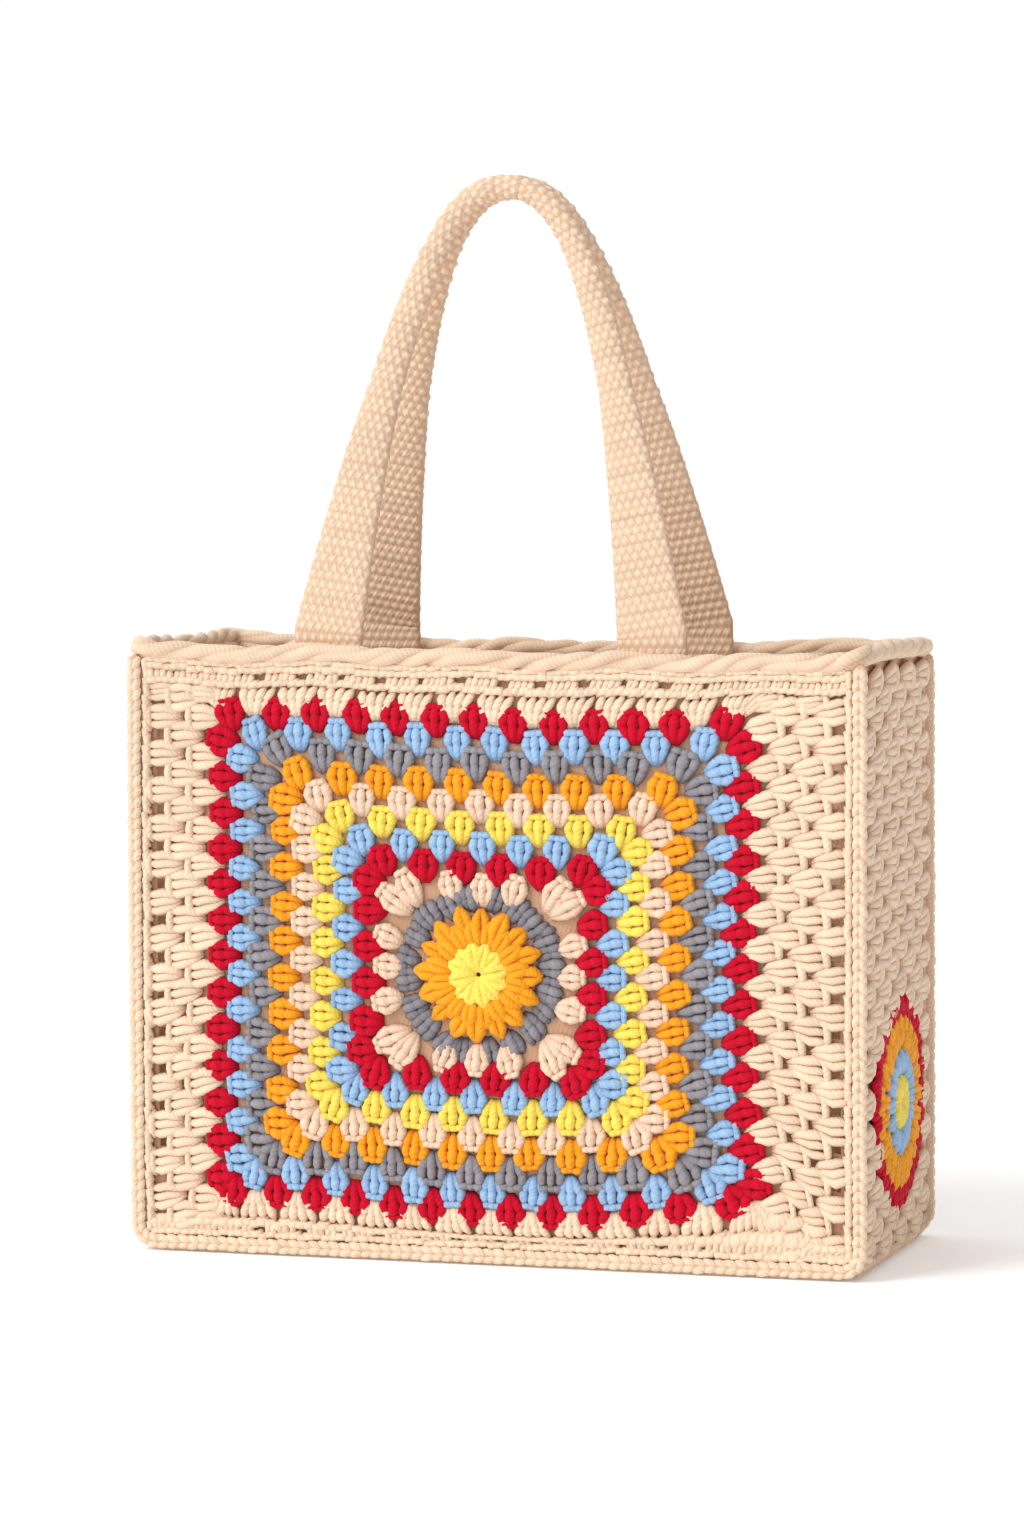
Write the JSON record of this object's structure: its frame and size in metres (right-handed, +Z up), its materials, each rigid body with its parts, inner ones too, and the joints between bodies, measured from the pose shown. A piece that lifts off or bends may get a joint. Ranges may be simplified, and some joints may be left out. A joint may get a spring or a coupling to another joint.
{
  "type": "crochet tote bag",
  "caption": "Open-topped crochet tote bag with granny-square faces, side panels with a flower, a flat base, a rolled rim and tall handles that meet at the top.",
  "frame": {"origin": "under the middle of the base, on the surface that the bag stands on", "axes": "+Z up, +X along the width, the front face looks along -Y"},
  "size_m": [0.394, 0.1596, 0.5597],
  "materials": {
    "beige_yarn": "matt acrylic yarn, crocheted in clusters and tight rows",
    "cream_yarn": "matt acrylic yarn, crocheted in clusters",
    "red_yarn": "matt acrylic yarn, crocheted in clusters",
    "sky_yarn": "matt acrylic yarn, crocheted in clusters",
    "grey_yarn": "matt acrylic yarn, crocheted in clusters",
    "orange_yarn": "matt acrylic yarn, crocheted in clusters",
    "yellow_yarn": "matt acrylic yarn, crocheted in clusters"
  },
  "bodies": {
    "root": {"front_border": "beige_yarn", "front_red_outer": "red_yarn", "front_sky_outer": "sky_yarn", "front_grey_square": "grey_yarn", "front_orange_square": "orange_yarn", "front_beige_square": "cream_yarn", "front_yellow_square": "yellow_yarn", "front_sky_inner": "sky_yarn", "front_red_inner": "red_yarn", "front_cream_petals": "cream_yarn", "front_grey_round": "grey_yarn", "front_orange_flower": "orange_yarn", "front_yellow_centre": "yellow_yarn", "back_border": "beige_yarn", "back_red_outer": "red_yarn", "back_sky_outer": "sky_yarn", "back_grey_square": "grey_yarn", "back_orange_square": "orange_yarn", "back_beige_square": "cream_yarn", "back_yellow_square": "yellow_yarn", "back_sky_inner": "sky_yarn", "back_red_inner": "red_yarn", "back_cream_petals": "cream_yarn", "back_grey_round": "grey_yarn", "back_orange_flower": "orange_yarn", "back_yellow_centre": "yellow_yarn", "right_gusset": "beige_yarn", "right_red_points": "red_yarn", "right_orange_petals": "orange_yarn", "right_sky_ring": "sky_yarn", "right_yellow_dot": "yellow_yarn", "left_gusset": "beige_yarn", "left_red_points": "red_yarn", "left_orange_petals": "orange_yarn", "left_sky_ring": "sky_yarn", "left_yellow_dot": "yellow_yarn", "base_panel": "beige_yarn", "front_seam": "beige_yarn", "back_seam": "beige_yarn", "top_rim": "beige_yarn", "front_handle": "beige_yarn", "back_handle": "beige_yarn"}
  },
  "joints": []
}
